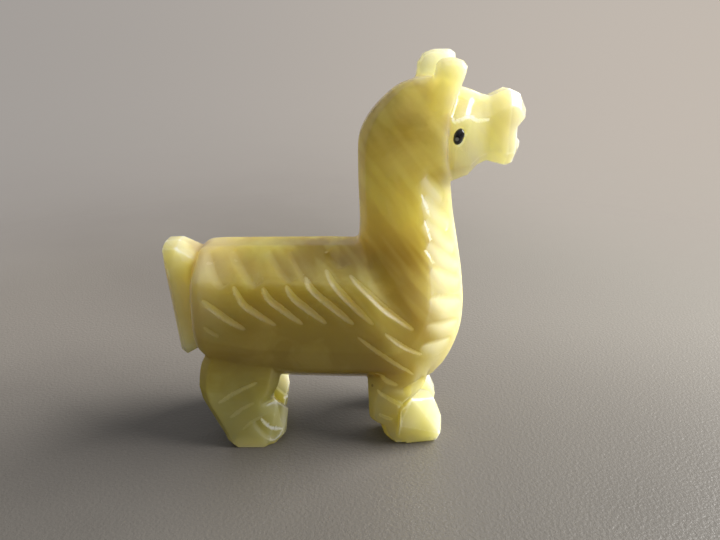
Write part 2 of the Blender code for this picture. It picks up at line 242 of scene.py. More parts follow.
def cut_rectangle(z, x0, x1, y0, y1, chamfer):
    """A level rectangle with its four corners cut off."""
    c = min(chamfer, 0.45 * (x1 - x0), 0.45 * (y1 - y0))
    return [(x0 + c, y0, z), (x1 - c, y0, z), (x1, y0 + c, z), (x1, y1 - c, z),
            (x1 - c, y1, z), (x0 + c, y1, z), (x0, y1 - c, z), (x0, y0 + c, z)]


hull(blank, list(TAIL_CORNERS) + mirrored(TAIL_CORNERS))
for levels, far_shift in ((HIND_RINGS, FAR_HIND_SHIFT), (FORE_RINGS, 0.0)):
    near = [cut_rectangle(z, x0, x1, -out, -SLOT_HALF, chamfer)
            for z, x0, x1, out, chamfer in spline(levels, 4)]
    skin(blank, near)
    skin(blank, [mirrored(ring, far_shift) for ring in near])
for corners, far_shift in ((TOE_CORNERS, FAR_HIND_SHIFT), (HOOF_CORNERS, 0.0)):
    hull(blank, corners)
    hull(blank, mirrored(corners, far_shift))
print("blank so far:", len(blank.verts), "points")

# %% [markdown]
# ## Face and ears
#
# The face comes out of the wool cap, a millimetre narrower than it on each side, pinches behind the
# nose and flares again at the lips. The ears are two flat leaves, the near one lower than the far one.

# %% Face and ears
CHEEK_HALF = 5.6
MUZZLE_X = 31.6
FACE_RINGS = (
    (15.0, 64.6, 60.2, 49.8, 1.8, CHEEK_HALF - 0.3),
    (19.6, 65.0, 60.2, 49.3, 1.8, CHEEK_HALF),
    (22.4, 64.2, 59.9, 50.3, 1.7, CHEEK_HALF - 0.5),
    (23.9, 63.6, 59.9, 52.0, 1.7, CHEEK_HALF - 1.0),
    (25.5, 63.2, 60.3, 52.7, 1.8, CHEEK_HALF - 1.5),
    (28.4, 64.4, 61.9, 52.0, 2.6, CHEEK_HALF - 0.9),
    (29.9, 63.8, 61.6, 52.3, 2.4, CHEEK_HALF - 1.5),
)
UPPER_LIP = ((28.4, -2.6, 64.4), (28.4, -4.7, 61.9), (28.4, -4.7, 58.4), (30.2, -2.4, 63.6),
             (30.2, -4.1, 61.4), (29.6, -4.2, 58.1), (MUZZLE_X, -1.8, 61.0),
             (MUZZLE_X - 0.3, -2.9, 59.9), (31.0, -1.0, 58.6))
LOWER_LIP = ((28.4, -4.7, 57.2), (28.4, -4.7, 54.2), (28.4, -2.6, 52.0), (29.4, -4.2, 57.4),
             (29.7, -4.0, 54.3), (29.0, -2.3, 51.9), (30.7, -2.9, 56.0), (30.6, -2.9, 55.0),
             (30.3, -1.6, 53.2))
rings = []
for x, top, brow, chin, bridge, cheek in FACE_RINGS:
    jaw = chin + 0.22 * (brow - chin)
    near = [(x, -bridge, top), (x, -cheek, brow), (x, -cheek, jaw), (x, -0.55 * cheek, chin)]
    rings.append(near + mirrored(near[::-1]))
skin(blank, rings)
for lip in (UPPER_LIP, LOWER_LIP):
    hull(blank, list(lip) + mirrored(lip))

NEAR_EAR = ((16.2, 68.3), (16.9, 69.0), (18.7, 69.2), (20.3, 68.7), (21.0, 67.8), (20.8, 66.6),
            (20.1, 64.6), (18.7, 60.6), (16.0, 58.6), (14.6, 61.6), (15.7, 65.6))
FAR_EAR = ((13.6, 66.2), (13.8, 68.4), (14.8, 69.9), (16.5, 70.5), (19.1, 70.5), (20.0, 69.9),
           (20.2, 68.4), (20.0, 65.0), (18.6, 61.0), (14.6, 60.0), (13.2, 63.4))
NEAR_LEAVES = ((2.2, 0.86), (3.0, 0.98), (4.6, 1.0), (5.8, 0.9), (6.2, 0.72))
FAR_LEAVES = ((1.4, 0.90), (2.4, 1.0), (4.4, 1.0), (5.5, 0.72))
for outline, leaves, side in ((NEAR_EAR, NEAR_LEAVES, -1.0), (FAR_EAR, FAR_LEAVES, 1.0)):
    centre = np.mean(outline, axis=0)
    rings = []
    for y, grow in leaves:
        flat = centre + (np.array(outline) - centre) * grow
        rings.append([(x, side * y, z) for x, z in flat])
    skin(blank, rings)
print("blank:", len(blank.faces), "faces in separate closed shells")

# %% [markdown]
# ## From blank to one skin of stone
#
# The shells overlap, as clay lumps would. A voxel Remesh fuses them into one closed skin of even, small
# quads, which can then be carved by moving points. A Boolean union would keep sharper edges, but these
# edges were polished by hand, and an even skin is what smoothing needs.

# %% Fuse the shells
VOXEL = 0.20 * MM

bmesh.ops.recalc_face_normals(blank, faces=blank.faces)
blank_mesh = bpy.data.meshes.new("stone_blank")
blank.to_mesh(blank_mesh)
blank.free()
stone = bpy.data.objects.new("polished_llama", blank_mesh)
bpy.context.scene.collection.objects.link(stone)
fuse = stone.modifiers.new("fuse", "REMESH")
fuse.mode = "VOXEL"
fuse.voxel_size = VOXEL
fuse.use_smooth_shade = True
bpy.context.view_layer.update()
graph = bpy.context.evaluated_depsgraph_get()
skin_mesh = bpy.data.meshes.new_from_object(stone.evaluated_get(graph))
stone.modifiers.remove(fuse)
stone.data = skin_mesh
print("skin:", len(skin_mesh.vertices), "points")

# %% [markdown]
# ## Soften the ground edges
#
# Polishing on a felt wheel melts every edge a little, and the broad faces more than the small ones.
# A Smooth modifier with a vertex group could do this. Here the points are read into an array once,
# because the cuts that follow move them too, and each step pulls a point towards its neighbours' mean.

# %% Points as arrays
def read_points(mesh):
    """The mesh's points as rows of X, Y, Z in millimetres."""
    co = np.empty(len(mesh.vertices) * 3, np.float32)
    mesh.vertices.foreach_get("co", co)
    return co.reshape(-1, 3).astype(float) / MM


def write_points(mesh, co):
    """Put rows of millimetres back on the mesh."""
    mesh.vertices.foreach_set("co", (co * MM).astype(np.float32).ravel())
    mesh.update()


def ease(x, low, high):
    """A smooth step from 0 at low to 1 at high."""
    t = np.clip((x - low) / (high - low), 0.0, 1.0)
    return t * t * (3.0 - 2.0 * t)


def inside(x, low, high, soft):
    """1 between low and high, easing to 0 over soft millimetres outside them."""
    return ease(x, low - soft, low) * (1.0 - ease(x, high, high + soft))


def neighbour_mean(values, ends):
    """The mean of each point's neighbours, for rows of values."""
    total = np.zeros_like(values)
    for column in range(values.shape[1]):
        total[:, column] = (np.bincount(ends[:, 0], values[ends[:, 1], column], len(values))
                            + np.bincount(ends[:, 1], values[ends[:, 0], column], len(values)))
    return total / np.bincount(ends.ravel(), minlength=len(values))[:, None]


def edge_ends(mesh):
    """The two point numbers of each edge."""
    ends = np.empty(len(mesh.edges) * 2, np.int64)
    mesh.edges.foreach_get("vertices", ends)
    return ends.reshape(-1, 2)


# %% Polish
ALL_OVER = 2
BROAD_FACES = 10
ROOTS = 70

points = read_points(stone.data)
ends = edge_ends(stone.data)
x, y, z = points.T
broad = inside(z, 15.0, 62.0, 3.0) * inside(x, -24.0, 18.0, 2.0) * (1.0 - inside(z, 0.0, 17.0, 1.0))
roots = inside(x, 12.0, 16.2, 1.2) * inside(z, 60.5, 66.6, 1.2)
roots = np.maximum(roots, inside(x, 4.0, 13.0, 3.0) * inside(z, 26.0, 40.0, 4.0))
roots = np.maximum(roots, inside(x, 13.2, 18.5, 1.2) * inside(z, 13.5, 19.0, 1.5))
roots = np.maximum(roots, 0.7 * inside(x, -26.4, -24.2, 0.8) * inside(z, 20.0, 34.0, 2.0))
for step in range(ROOTS):
    pull = 0.5 * np.maximum(broad * (step < BROAD_FACES), roots)
    if step < ALL_OVER:
        pull[:] = 0.5
    points += (neighbour_mean(points, ends) - points) * pull[:, None]
write_points(stone.data, points)
print("polished points:", len(points))

# %% [markdown]
# ## Cutting the wool
#
# Each stroke is a path on the stone. It is drawn from the side and laid on the surface with a ray, and
# then every point of the skin near it moves in. A stroke is deepest in its middle, as a wheel's cut is.
# Its section is a V with one wide wall, because the wheel is held aslant. A Boolean with a wheel
# would cut the same shape, as in the plain solids, but its walls would be flat and its ends sharp.

# %% The wheel
surface = BVHTree.FromObject(stone, bpy.context.evaluated_depsgraph_get())
cut_depth = np.zeros(len(points))
cut_and_glint = np.zeros(len(points))
flute_light_saddle_shade = np.zeros(len(points))


def lay_path(corners, side, steps=8):
    """Lay a path that is drawn from the side onto the near (-1) or far (1) side of the stone."""
    laid = []
    for x, z in spline(corners, steps):
        hit, normal, _, _ = surface.ray_cast(Vector((x, side * 30.0, z)) * MM, Vector((0.0, -side, 0.0)))
        if hit is not None:
            laid.append((*(hit / MM), *normal))
    laid = np.array(laid)
    facing = laid[:, 3:]
    for _ in range(6):
        facing[1:-1] = (facing[:-2] + facing[1:-1] + facing[2:]) / 3.0
    facing /= np.linalg.norm(facing, axis=1)[:, None]
    return laid[:, :3], facing


def cut(corners, side, width, depth, scoop=False, matte=1.0, blunt=0.6, keel=-0.4, pale=0.0):
    """Move the skin in along a path: a V whose keel is off its middle, or a round scoop."""
    path, facing = lay_path(corners, side)
    reach = width + depth
    low, high = path.min(axis=0) - reach, path.max(axis=0) + reach
    near = np.nonzero(((points > low) & (points < high)).all(axis=1))[0]
    best = np.full(len(near), 1e9)
    along = np.zeros(len(near))
    across = np.zeros(len(near))
    outward = np.zeros((len(near), 3))
    for i in range(len(path) - 1):
        step = path[i + 1] - path[i]
        length = np.linalg.norm(step)
        offset = points[near] - path[i]
        t = np.clip(offset @ step / length ** 2, 0.0, 1.0)
        rest = offset - t[:, None] * step
        distance = np.linalg.norm(rest, axis=1)
        better = distance < best
        best[better] = distance[better]
        along[better] = ((i + t) / (len(path) - 1))[better]
        across[better] = (rest @ (np.cross(step / length, facing[i]) * -side))[better]
        outward[better] = facing[i]
    lens = np.clip(1.0 - (2.0 * along - 1.0) ** 2, 0.0, 1.0) ** blunt
    s = across / np.maximum(0.5 * width * np.sqrt(lens), 1e-4)
    if scoop:
        shape = np.clip(1.0 - s ** 2, 0.0, 1.0)
    else:
        shape = np.clip(np.where(s < keel, (s + 1.0) / (1.0 + keel), (1.0 - s) / (1.0 - keel)), 0.0, 1.0)
    shape *= best < reach
    extra = np.maximum(depth * lens * shape - cut_depth[near], 0.0)
    points[near] -= outward * extra[:, None]
    cut_depth[near] += extra
    # A matte value above 1 also paints a glint: a painted highlight, picked up with the rims' highlights.
    cut_and_glint[near] = np.maximum(cut_and_glint[near], matte * ease(shape * lens, 0.04, 0.3))
    # A positive pale paints light into a hollow, and a negative one paints shade.
    flute_light_saddle_shade[near] += pale * ease(shape * lens, 0.1, 0.9)


# %% Strokes of the wool
FLANK_STROKES = (
    ((-22.9, 30.4), (-20.8, 28.6), (-18.4, 26.7), (-15.7, 25.0)),
    ((-17.5, 32.8), (-16.0, 29.9), (-14.3, 28.4), (-10.3, 25.7)),
    ((-12.5, 32.5), (-11.5, 30.6), (-9.5, 28.9), (-5.7, 25.9)),
    ((-8.6, 32.8), (-7.2, 30.7), (-4.6, 28.5), (-1.7, 26.1)),
    ((-5.4, 34.2), (-4.0, 32.0), (-0.4, 28.9), (3.0, 25.9)),
    ((-2.0, 34.9), (-0.1, 32.6), (2.2, 30.1), (6.4, 25.8)),
    ((2.2, 34.2), (5.3, 31.5), (8.8, 28.0), (13.5, 24.0)),
)
LEG_STROKES = (
    (((8.3, 24.3), (10.5, 22.3), (12.5, 20.7), (15.2, 18.9)), 0.95, 0.40, 1.0),
    (((3.5, 23.7), (6.4, 21.3), (10.0, 18.4), (13.8, 15.2)), 0.90, 0.36, 1.0),
    (((-22.9, 25.6), (-21.6, 24.5), (-20.4, 23.7)), 0.90, 0.25, 0.5),
    (((6.8, 15.6), (8.7, 14.2), (10.9, 13.1)), 1.10, 0.32, 0.9),
    (((7.1, 11.8), (9.4, 10.2), (12.0, 8.4)), 1.00, 0.42, 1.0),
    (((7.5, 6.8), (8.8, 6.1), (10.2, 5.6)), 0.90, 0.25, 0.7),
    (((-21.9, 9.7), (-18.4, 12.1), (-14.3, 14.2)), 0.85, 0.32, 0.9),
    (((-19.9, 6.7), (-17.5, 8.6), (-15.2, 9.9)), 0.85, 0.24, 0.55),
    (((-17.8, 4.1), (-15.8, 5.9), (-13.9, 7.0)), 0.80, 0.16, 0.35),
)
SADDLE_CUTS = (
    ((-21.9, 37.2), (-20.9, 35.9), (-19.8, 34.5), (-18.4, 33.0)),
    ((-17.7, 37.4), (-15.5, 35.5), (-14.2, 34.3), (-12.8, 33.0)),
    ((-11.4, 37.4), (-9.5, 35.8), (-8.3, 34.7), (-7.0, 33.6)),
    ((-7.8, 37.4), (-6.2, 35.8), (-4.9, 34.5), (-3.8, 33.5)),
    ((-1.2, 37.4), (0.3, 36.3), (1.6, 35.2)),
)

for side in (-1.0, 1.0):
    for corners in FLANK_STROKES:
        cut(corners, side, width=1.45, depth=0.55)
    for corners, width, depth, matte in LEG_STROKES:
        cut(corners, side, width, depth, matte=matte)
    for corners in SADDLE_CUTS:
        # The saddle's hollows get painted shade (pale=-1.0).
        cut(corners, side, width=4.4, depth=0.58, matte=0.10, blunt=0.35, keel=0.3, pale=-1.0)
print("stroke points:", int((cut_depth > 0.01).sum()))

# %% [markdown]
# ## Scoops of the chest, neck and face
#
# The chest is fluted with the round face of the wheel: wide, shallow scoops that run down to the front
# and nibble the chest's edge into scallops. The same wheel left the long soft streaks on the neck and
# the small hollows over the eye. They are polished, so they stay clear, and the chest's flutes are
# painted paler as painted light. A few fine nicks, near the upper ends of three flutes, on the hind toe
# and along the brow, are left unpolished, so they are matte, and they carry painted highlights: pale glints.

# %% Scoops
CHEST_FLUTES = (
    (((14.2, 50.4), (15.9, 48.3), (18.0, 45.9)), 0.4), (((14.4, 46.9), (17.0, 43.9), (19.4, 41.2)), 0.2),
    (((14.6, 43.0), (17.8, 39.6), (20.6, 36.8)), 0.2), (((15.4, 39.0), (18.8, 35.7), (21.6, 33.4)), 0.2),
    (((16.0, 34.6), (19.3, 32.1), (22.3, 30.3)), 0.5), (((15.9, 29.4), (19.6, 27.7), (22.8, 26.4)), 0.6),
    (((15.6, 24.2), (19.0, 23.2), (22.3, 22.6)), 0.6), (((15.0, 20.1), (18.1, 19.5), (21.0, 19.4)), 0.6),
)
BROW_SCOOPS = (
    (((20.8, 62.9), (20.1, 61.3), (19.5, 59.7)), 2.5, 0.34),
    (((23.6, 62.6), (22.9, 61.2), (22.3, 59.6)), 3.0, 0.34),
)
HOOF_NOTCH = ((11.9, 11.4), (13.7, 12.4), (16.0, 12.9))
TOE_HOLLOW = ((-14.2, 6.7), (-13.0, 5.0), (-10.9, 2.6))
NECK_STREAKS = 9
# Painted highlights: a nick's matte value above 1 paints it as a pale glint.
NICK_MATTE_AND_GLINT = 1.5
GLINT_NICKS = (
    (((14.1, 47.9), (15.0, 46.1), (15.9, 44.2)), 0.55, 0.12),
    (((14.8, 43.5), (15.6, 41.8), (16.0, 39.8)), 0.55, 0.12),
    (((15.0, 38.5), (16.0, 37.1), (16.7, 35.8)), 0.50, 0.10),
    (((-14.2, 6.5), (-13.5, 5.2), (-12.6, 4.3), (-10.6, 3.0)), 0.75, 0.12),
    (((18.8, 60.2), (19.2, 59.3), (20.4, 59.7), (21.8, 60.2), (22.6, 59.6), (23.6, 59.4), (25.2, 59.6)),
     0.80, 0.14),
)

for side in (-1.0, 1.0):
    # The chest's flutes get painted light (pale=1.0).
    for corners, blunt in CHEST_FLUTES:
        cut(corners, side, width=4.1, depth=0.36, matte=0.0, blunt=blunt, keel=-0.4, pale=1.0)
    for i in range(NECK_STREAKS):
        x0 = 4.9 + 1.25 * i
        z0 = 52.0 - 0.5 * i + 1.3 * math.sin(2.1 * i)
        cut(((x0, z0), (x0 + 2.1, z0 - 4.4), (x0 + 3.4, z0 - 7.6)), side,
            width=1.9, depth=0.09, scoop=True, matte=0.0)
    for corners, width, depth in BROW_SCOOPS:
        cut(corners, side, width, depth, matte=0.0, blunt=0.25, keel=0.5)
    cut(HOOF_NOTCH, side, width=2.4, depth=0.8, matte=0.0, blunt=0.3, keel=-0.5)
    cut(TOE_HOLLOW, side, width=4.6, depth=0.6, matte=0.0, blunt=0.3, keel=0.7)
    for corners, width, depth in GLINT_NICKS:
        cut(corners, side, width, depth, matte=NICK_MATTE_AND_GLINT, blunt=0.4, keel=-0.5)
print("carved points:", int((cut_depth > 0.01).sum()))

# %% [markdown]
# ## Sockets and beads for the eyes
#
# Each eye is a drop of black glass let into a drilled oval pit, and its pit has a polished rim. The
# stone's points inside the oval move in, and a lens of black glass fills the pit and stands a little
# proud of it. A pale matte crescent on the low front of the rim is a painted highlight.

# %% Sockets
EYE_X = 20.2
EYE_Z = 57.0
EYE_HALF_WIDE = 0.78
EYE_HALF_HIGH = 1.25
EYE_LEAN = math.radians(16.0)
SOCKET_DEPTH = 0.5


def eye_oval(x, z):
    """How far a place is from the eye's middle: 1 is on the oval."""
    right = (x - EYE_X) * math.cos(EYE_LEAN) - (z - EYE_Z) * math.sin(EYE_LEAN)
    up = (x - EYE_X) * math.sin(EYE_LEAN) + (z - EYE_Z) * math.cos(EYE_LEAN)
    return np.hypot(right / EYE_HALF_WIDE, up / EYE_HALF_HIGH)


cheeks = {}
for side in (-1.0, 1.0):
    (place,), (facing,) = lay_path(((EYE_X, EYE_Z),), side)
    cheeks[side] = (place, facing)
    oval = eye_oval(points[:, 0], points[:, 2])
    face_side = np.abs(points[:, 1] - place[1]) < 1.5
    pit = (1.0 - ease(oval, 1.0, 1.35)) * face_side
    points -= (SOCKET_DEPTH * pit)[:, None] * facing
    # Painted highlight: a pale matte crescent on the low front of the pit's rim.
    low_front = ease((points[:, 0] - EYE_X) - 0.6 * (points[:, 2] - EYE_Z), 0.1, 0.9)
    cut_and_glint = np.maximum(cut_and_glint, 1.9 * inside(oval, 1.05, 1.3, 0.15) * face_side * low_front)
write_points(stone.data, points)
print("cheek at", cheeks[-1.0][0].round(2))

# %% Beads
beads = {}
for side, name in ((-1.0, "eye_right"), (1.0, "eye_left")):
    place, facing = cheeks[side]
    bead = bmesh.new()
    bmesh.ops.create_uvsphere(bead, u_segments=40, v_segments=24, radius=1.0)
    bmesh.ops.scale(bead, verts=bead.verts, vec=Vector((EYE_HALF_WIDE * 1.1, 0.62, EYE_HALF_HIGH * 1.08)))
    for vert in bead.verts:
        if vert.co.y * side < 0.0:
            vert.co.y *= 0.5
    bmesh.ops.rotate(bead, verts=bead.verts, cent=(0, 0, 0), matrix=Matrix.Rotation(EYE_LEAN, 3, "Y"))
    bmesh.ops.translate(bead, verts=bead.verts, vec=Vector(place - 0.38 * facing))
    bmesh.ops.scale(bead, verts=bead.verts, vec=Vector((MM, MM, MM)))
    mesh = bpy.data.meshes.new("black_drop_" + name)
    bead.to_mesh(mesh)
    bead.free()
    mesh.shade_smooth()
    beads[name] = bpy.data.objects.new("black_drop_" + name, mesh)
    bpy.context.scene.collection.objects.link(beads[name])
print("beads:", sorted(beads))

# %% [markdown]
# ## Painted highlights on rims
#
# The rims between facets at the feet, the lips and the top of the tail get painted highlights: they are
# painted paler than the faces. A rim is where a point stands out from the mean of its neighbours. This is
# measured on the even skin, where all squares are alike. The cores of the nicks, and the crescent on each
# eye's rim, get the same painted highlight.

# %% Painted highlights on rims
EDGE_LOW = 0.004
EDGE_HIGH = 0.016

ends = edge_ends(stone.data)
normals = np.empty(len(points) * 3, np.float32)
stone.data.vertices.foreach_get("normal", normals)
stands_out = ((points - neighbour_mean(points, ends)) * normals.reshape(-1, 3)).sum(axis=1)
for _ in range(2):
    stands_out = 0.5 * stands_out + 0.5 * neighbour_mean(stands_out[:, None], ends)[:, 0]
x, y, z = points.T
# Painted highlights: rims at the fore hooves, the lips, the top of the tail and the hind toe are painted
# cream.
highlight_places = inside(x, 11.3, 20.0, 0.6) * inside(z, 0.0, 10.2, 0.6) * ease(np.abs(y), 2.4, 3.2)
highlight_places = np.maximum(highlight_places, inside(x, 28.6, 32.0, 0.6) * inside(z, 51.0, 65.0, 1.0))
highlight_places = np.maximum(highlight_places, inside(x, -32.0, -26.0, 0.8) * inside(z, 32.5, 39.0, 1.0))
highlight_places = np.maximum(highlight_places, inside(x, -12.6, -9.0, 0.8) * inside(z, 0.0, 10.5, 0.6))
painted_highlight = 0.55 * highlight_places * ease(stands_out, EDGE_LOW, EDGE_HIGH)
painted_highlight = np.maximum(painted_highlight, np.clip(2.0 * (cut_and_glint - 1.0), 0.0, 1.0))
flute_light_saddle_shade = np.clip(flute_light_saddle_shade, -1.0, 1.0)
print("pale rims:", int((painted_highlight > 0.2).sum()), "points")

# %% [markdown]
# ## Fewer triangles
#
# The remeshed skin has the same fine squares on a flat flank as on a hoof's edge. Decimate's collapse
# keeps the small ones only where the surface turns, and brings the piece under 200,000 triangles.
# The masks of the wheel's cuts and painted glints, of painted light in the flutes and painted shade in the
# saddle, and of painted highlights on the rims are stored on the points first and ride along.

# %% Decimate
TRIANGLES = 190000

for name, values in (("cut_and_glint_marks", cut_and_glint), ("painted_flute_light_saddle_shade", flute_light_saddle_shade), ("painted_highlight", painted_highlight)):
    mask = stone.data.attributes.new(name, "FLOAT", "POINT")
    mask.data.foreach_set("value", values.astype(np.float32))
triangles_now = sum(len(face.vertices) - 2 for face in stone.data.polygons)
thin_out = stone.modifiers.new("thin_out", "DECIMATE")
thin_out.ratio = min(1.0, TRIANGLES / triangles_now)
graph = bpy.context.evaluated_depsgraph_get()
light_mesh = bpy.data.meshes.new_from_object(stone.evaluated_get(graph))
stone.modifiers.remove(thin_out)
stone.data = light_mesh
light_mesh.name = "polished_llama"
light_mesh.shade_smooth()
print("triangles:", triangles_now, "to", sum(len(face.vertices) - 2 for face in light_mesh.polygons),
      "attributes:", [a.name for a in light_mesh.attributes])

# %% [markdown]
# ## How thick is the stone?
#
# Light soaks into this stone. A thin ear looks pale and glows, and the thick barrel looks brown and
# deep, from wherever one stands. Rays sent inwards from each point measure that thickness, and a little
# averaging spreads it as light does. The material reads the result as a colour, so the glow of thin
# parts and the shade of thick ones are painted into the stone's colour: painted glow and painted shade.

# %% Thickness
RAY_SPREAD = 0.55
THICK = 24.0
SPREAD_ROUNDS = 40

points = read_points(light_mesh)
ends = edge_ends(light_mesh)
normals = np.empty(len(points) * 3, np.float32)
light_mesh.vertices.foreach_get("normal", normals)
normals = normals.reshape(-1, 3).astype(float)
body = BVHTree.FromObject(stone, bpy.context.evaluated_depsgraph_get())
leans = [(0.0, 0.0, 0.0), (RAY_SPREAD, 0.0, RAY_SPREAD), (-RAY_SPREAD, 0.0, RAY_SPREAD),
         (RAY_SPREAD, 0.0, -RAY_SPREAD), (-RAY_SPREAD, 0.0, -RAY_SPREAD)]
thickness = np.zeros(len(points))
for lean in leans:
    aim = -normals + lean
    aim /= np.linalg.norm(aim, axis=1)[:, None]
    starts = (points - 0.05 * normals) * MM
    for i, (start, way) in enumerate(zip(starts.tolist(), aim.tolist())):
        distance = body.ray_cast(start, way)[3]
        thickness[i] += min((distance or 0.0) / MM, THICK)
thickness /= len(leans)
for _ in range(SPREAD_ROUNDS):
    thickness = 0.5 * thickness + 0.5 * neighbour_mean(thickness[:, None], ends)[:, 0]
thin = 1.0 - ease(thickness, 3.0, 0.8 * THICK)
glow = light_mesh.attributes.new("thinness", "FLOAT", "POINT")
glow.data.foreach_set("value", thin.astype(np.float32))
print("thickness: %.1f to %.1f mm, thinness %.2f to %.2f"
      % (thickness.min(), thickness.max(), thin.min(), thin.max()))

# %% [markdown]
# ## Shader pieces
#
# Each effect is a node group with named sockets. Three come back in several materials: a cloudy tone, a
# speck at a chosen place, and a grain for bumps. With a large radius a speck is a soft patch. Slanting
# streaks and scattered flecks are used by the stone alone. All read Object coordinates, because these
# stay fixed to the stone from every side, and they give out only masks and heights.

# %% Node helpers
def put(tree, kind, sockets=None, **settings):
    """Add a node. A socket's value is either plain or another node's output, which is then linked."""
    node = tree.nodes.new(kind)
    for name, value in settings.items():
        setattr(node, name, value)
    for name, value in (sockets or {}).items():
        if isinstance(value, bpy.types.NodeSocket):
            tree.links.new(value, node.inputs[name])
        else:
            node.inputs[name].default_value = value
    return node


def new_group(name, inputs, output):
    """Start a node group with float or vector inputs and one float output."""
    tree = bpy.data.node_groups.new(name, "ShaderNodeTree")
    for label, kind, value in inputs:
        socket = tree.interface.new_socket(label, in_out="INPUT", socket_type=kind)
        if value is not None:
            socket.default_value = value
    tree.interface.new_socket(output, in_out="OUTPUT", socket_type="NodeSocketFloat")
    return tree, tree.nodes.new("NodeGroupInput"), tree.nodes.new("NodeGroupOutput")


FLOAT = "NodeSocketFloat"
VECTOR = "NodeSocketVector"


def use(tree, group, **sockets):
    """Place a group in a material and give its first output."""
    named = {name.replace("_", " "): value for name, value in sockets.items()}
    return put(tree, "ShaderNodeGroup", named, node_tree=group).outputs[0]


def maths(tree, operation, a, b=0.0):
    node = put(tree, "ShaderNodeMath", {0: a, 1: b}, operation=operation, use_clamp=True)
    return node.outputs[0]


def one_over(tree, value):
    """1 divided by a value, which turns a size into a texture's scale."""
    return put(tree, "ShaderNodeMath", {0: 1.0, 1: value}, operation="DIVIDE").outputs[0]


def smooth_mask(tree, value, low, high):
    """A mask that eases from 0 at low to 1 at high."""
    return put(tree, "ShaderNodeMapRange", {"Value": value, "From Min": low, "From Max": high},
               interpolation_type="SMOOTHSTEP").outputs["Result"]


def blend(tree, factor, a, b):
    """Mix two colours."""
    node = tree.nodes.new("ShaderNodeMix")
    node.data_type = "RGBA"
    for name, value in (("Factor_Float", factor), ("A_Color", a), ("B_Color", b)):
        socket = next(each for each in node.inputs if each.identifier == name)
        if isinstance(value, bpy.types.NodeSocket):
            tree.links.new(value, socket)
        else:
            socket.default_value = value
    return next(each for each in node.outputs if each.identifier == "Result_Color")


# %% Cloudy tone
cloudy, start, end = new_group("cloudy_tone", (("Place", VECTOR, None), ("Patch Size", FLOAT, 0.006),
                                               ("Swirl", FLOAT, 0.6), ("Low", FLOAT, 0.35),
                                               ("High", FLOAT, 0.65)), "Mask")
noise = put(cloudy, "ShaderNodeTexNoise", {"Vector": start.outputs["Place"],
                                           "Scale": one_over(cloudy, start.outputs["Patch Size"]),
                                           "Detail": 4.0, "Roughness": 0.55,
                                           "Distortion": start.outputs["Swirl"]})
spread = smooth_mask(cloudy, noise.outputs["Fac"], start.outputs["Low"], start.outputs["High"])
cloudy.links.new(spread, end.inputs["Mask"])

# %% Slanting streaks
STREAK_TURN = (0.0, math.radians(40.0), 0.0)
STREAK_STRETCH = (1.0, 0.35, 0.13)

streaks, start, end = new_group("slanting_streaks", (("Place", VECTOR, None), ("Streak Width", FLOAT, 0.002),
                                                     ("Low", FLOAT, 0.4), ("High", FLOAT, 0.6)), "Mask")
turned = put(streaks, "ShaderNodeMapping", {"Vector": start.outputs["Place"], "Rotation": STREAK_TURN})
drawn_out = put(streaks, "ShaderNodeMapping", {"Vector": turned.outputs[0], "Scale": STREAK_STRETCH})
noise = put(streaks, "ShaderNodeTexNoise", {"Vector": drawn_out.outputs[0],
                                            "Scale": one_over(streaks, start.outputs["Streak Width"]),
                                            "Detail": 1.0, "Roughness": 0.4, "Distortion": 0.0})
spread = smooth_mask(streaks, noise.outputs["Fac"], start.outputs["Low"], start.outputs["High"])
streaks.links.new(spread, end.inputs["Mask"])

# %% Speck
speck, start, end = new_group("speck", (("Place", VECTOR, None), ("Centre", VECTOR, None),
                                        ("Radius", FLOAT, 0.0002)), "Mask")
gap = put(speck, "ShaderNodeVectorMath", {0: start.outputs["Place"], 1: start.outputs["Centre"]},
          operation="DISTANCE")
share = put(speck, "ShaderNodeMath", {0: gap.outputs["Value"], 1: start.outputs["Radius"]},
            operation="DIVIDE")
speck.links.new(smooth_mask(speck, share.outputs[0], 1.2, 0.6), end.inputs["Mask"])

# %% Scattered flecks
flecks, start, end = new_group("scattered_flecks", (("Place", VECTOR, None), ("Spacing", FLOAT, 0.004),
                                                    ("Fleck Size", FLOAT, 0.05),
                                                    ("Share", FLOAT, 0.3)), "Mask")
cells = put(flecks, "ShaderNodeTexVoronoi", {"Vector": start.outputs["Place"],
                                             "Scale": one_over(flecks, start.outputs["Spacing"])})
dot = put(flecks, "ShaderNodeMath", {0: cells.outputs["Distance"], 1: start.outputs["Fleck Size"]},
          operation="LESS_THAN")
parts = put(flecks, "ShaderNodeSeparateColor", {"Color": cells.outputs["Color"]})
chosen = put(flecks, "ShaderNodeMath", {0: parts.outputs["Red"], 1: start.outputs["Share"]},
             operation="LESS_THAN")
both = put(flecks, "ShaderNodeMath", {0: dot.outputs[0], 1: chosen.outputs[0]}, operation="MULTIPLY")
flecks.links.new(both.outputs[0], end.inputs["Mask"])

# %% Grain
grain, start, end = new_group("grain", (("Place", VECTOR, None), ("Grain Size", FLOAT, 0.001)), "Height")
noise = put(grain, "ShaderNodeTexNoise", {"Vector": start.outputs["Place"],
                                          "Scale": one_over(grain, start.outputs["Grain Size"]),
                                          "Detail": 3.0, "Roughness": 0.6})
grain.links.new(noise.outputs["Fac"], end.inputs["Height"])
print("groups:", [group.name for group in bpy.data.node_groups])

# %% [markdown]
# ## Honey stone
#
# Thick stone is painted olive brown and thin stone pale yellow, painted shade and painted glow on the
# stone's honey colour, so the colour follows the thickness, shifted a little by clouds. Subsurface
# scattering then lets the window's light through, red furthest and blue least. The wheel's cuts are
# matte and whitish, as ground stone is, and the rest has a hand polish: glossy, but never quite even.
# Large soft patches paint light and shade on the feet, chest, muzzle, ears and tail. They were set by
# colour readings for one view and light, so the far feet look too pale from their own side. Slanting
# streaks lie on the neck, the chest's flutes are painted paler as painted light, the saddle's hollows
# darker as painted shade, and the rims get cream painted highlights.

